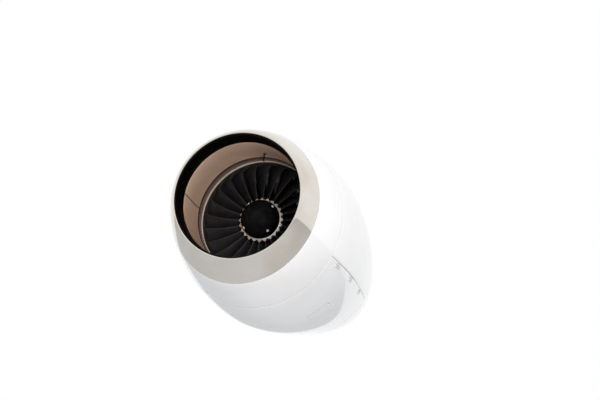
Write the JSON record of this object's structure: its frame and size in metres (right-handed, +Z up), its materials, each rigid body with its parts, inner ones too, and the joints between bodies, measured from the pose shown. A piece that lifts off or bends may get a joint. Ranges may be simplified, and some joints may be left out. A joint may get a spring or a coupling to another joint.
{
  "type": "jet engine",
  "caption": "Podded turbofan for the side of a fuselage: inlet and fan, hinged cowl doors over the core, lobed mixer and a two-door thrust reverser as the nozzle.",
  "frame": {"origin": "centre of the forward mount's face, where it bolts to the aircraft's pylon", "axes": "+Y along the engine from the inlet to the nozzle, -X out of the mounting face towards the fuselage, +Z up"},
  "size_m": [1.9193, 4.25, 1.9315],
  "materials": {
    "lip_metal": "polished",
    "nacelle_paint": "gloss",
    "barrel_paint": "matt",
    "primer": "matt",
    "case_alloy": "satin",
    "track_lining": "matt",
    "blade_coat": "dark gloss",
    "spinner_coat": "gloss",
    "ring_alloy": "polished",
    "bearing_steel": "ground",
    "rotor_alloy": "machined",
    "vane_alloy": "satin",
    "hot_alloy": "heat-tinted",
    "duct_composite": "satin",
    "accessory_alloy": "cast",
    "control_paint": "matt",
    "tank_paint": "satin",
    "mount_steel": "forged",
    "fastener_steel": "plated",
    "latch_steel": "satin",
    "probe_metal": "dark"
  },
  "bodies": {
    "nacelle": {"nose_lip": "lip_metal", "inlet_front_bulkhead": "primer", "inlet_outer_barrel": "nacelle_paint", "inlet_inner_barrel": "barrel_paint", "inlet_rear_bulkhead": "primer", "inlet_flange_bolts": "fastener_steel", "inlet_probe": "probe_metal", "fan_case": "case_alloy", "front_acoustic_panel": "track_lining", "fan_track": "track_lining", "rear_acoustic_panel": "track_lining", "main_bearings": "bearing_steel", "outlet_guide_vanes": "vane_alloy", "flow_splitter": "vane_alloy", "intermediate_case": "case_alloy", "compressor_case": "case_alloy", "combustor_case": "hot_alloy", "combustor_liner": "hot_alloy", "fuel_nozzles": "fastener_steel", "fuel_manifold": "fastener_steel", "igniters": "fastener_steel", "turbine_case": "hot_alloy", "exhaust_frame": "hot_alloy", "exhaust_mixer": "hot_alloy", "tail_cone": "hot_alloy", "core_cowl": "duct_composite", "bypass_duct": "duct_composite", "accessory_gearbox": "accessory_alloy", "starter_generator": "accessory_alloy", "fuel_pump": "accessory_alloy", "oil_tank": "tank_paint", "control_unit": "control_paint", "forward_mount": "mount_steel", "aft_mount": "mount_steel", "apron": "nacelle_paint", "cowl_hinge_pins": "fastener_steel", "aft_barrel": "nacelle_paint", "reverser_frame": "primer", "side_beams": "nacelle_paint", "reverser_pins": "fastener_steel"},
    "low_rotor": {"fan_blades": "blade_coat", "annulus_fillers": "ring_alloy", "fan_disc": "rotor_alloy", "spinner": "spinner_coat", "spinner_ring": "ring_alloy", "low_shaft": "rotor_alloy", "low_turbine_rotor": "rotor_alloy"},
    "core_rotor": {"compressor_rotor": "rotor_alloy", "core_turbine_rotor": "rotor_alloy"},
    "tower_shaft": {"tower_shaft": "rotor_alloy"},
    "upper_cowl": {"upper_cowl_door": "nacelle_paint"},
    "lower_cowl": {"lower_cowl_door": "nacelle_paint"},
    "front_latch": {"front_latch": "latch_steel"},
    "middle_latch": {"middle_latch": "latch_steel"},
    "rear_latch": {"rear_latch": "latch_steel"},
    "oil_door": {"oil_door": "nacelle_paint"},
    "upper_reverser": {"upper_reverser_door": "nacelle_paint"},
    "lower_reverser": {"lower_reverser_door": "nacelle_paint"}
  },
  "joints": [
    {"name": "low_rotor_spin", "type": "hinge", "parent": "nacelle", "child": "low_rotor", "pos_m": [0.985, -0.43, 0], "axis": [0, 1, 0], "continuous": true},
    {"name": "core_rotor_spin", "type": "hinge", "parent": "nacelle", "child": "core_rotor", "pos_m": [0.985, 0.47, 0], "axis": [0, 1, 0], "continuous": true},
    {"name": "tower_shaft_spin", "type": "hinge", "parent": "nacelle", "child": "tower_shaft", "pos_m": [0.985, 0.06, -0.4], "axis": [0, 0, 1], "continuous": true},
    {"name": "upper_cowl_hinge", "type": "hinge", "parent": "nacelle", "child": "upper_cowl", "pos_m": [0.11656, 0.17, 0.4], "axis": [0, -1, 0], "range_deg": [0, 55]},
    {"name": "lower_cowl_hinge", "type": "hinge", "parent": "nacelle", "child": "lower_cowl", "pos_m": [0.11656, 0.17, -0.4], "axis": [0, 1, 0], "range_deg": [0, 50]},
    {"name": "front_latch_pin", "type": "hinge", "parent": "lower_cowl", "child": "front_latch", "pos_m": [1.82475, -0.3306, -0.35498], "axis": [0.1126, 0.9928, -0.0419], "range_deg": [0, 60]},
    {"name": "middle_latch_pin", "type": "hinge", "parent": "lower_cowl", "child": "middle_latch", "pos_m": [1.8573, 0.17, -0.36708], "axis": [0.0001, 1, 0], "range_deg": [0, 60]},
    {"name": "rear_latch_pin", "type": "hinge", "parent": "lower_cowl", "child": "rear_latch", "pos_m": [1.81582, 0.87053, -0.35166], "axis": [-0.0999, 0.9943, 0.0371], "range_deg": [0, 60]},
    {"name": "oil_door_hinge", "type": "hinge", "parent": "lower_cowl", "child": "oil_door", "pos_m": [1.69906, 0.19005, -0.64294], "axis": [0.0072, -1, -0.0064], "range_deg": [0, 80]},
    {"name": "upper_reverser_pivot", "type": "hinge", "parent": "nacelle", "child": "upper_reverser", "pos_m": [0.985, 2.67, 0.055], "axis": [-1, 0, 0], "range_deg": [0, 60]},
    {"name": "lower_reverser_pivot", "type": "hinge", "parent": "nacelle", "child": "lower_reverser", "pos_m": [0.985, 2.67, -0.055], "axis": [1, 0, 0], "range_deg": [0, 60]}
  ],
  "couplings": [
    {"joint": "tower_shaft_spin", "follows": "core_rotor_spin", "ratio": 2},
    {"joint": "lower_reverser_pivot", "follows": "upper_reverser_pivot", "ratio": 1}
  ]
}
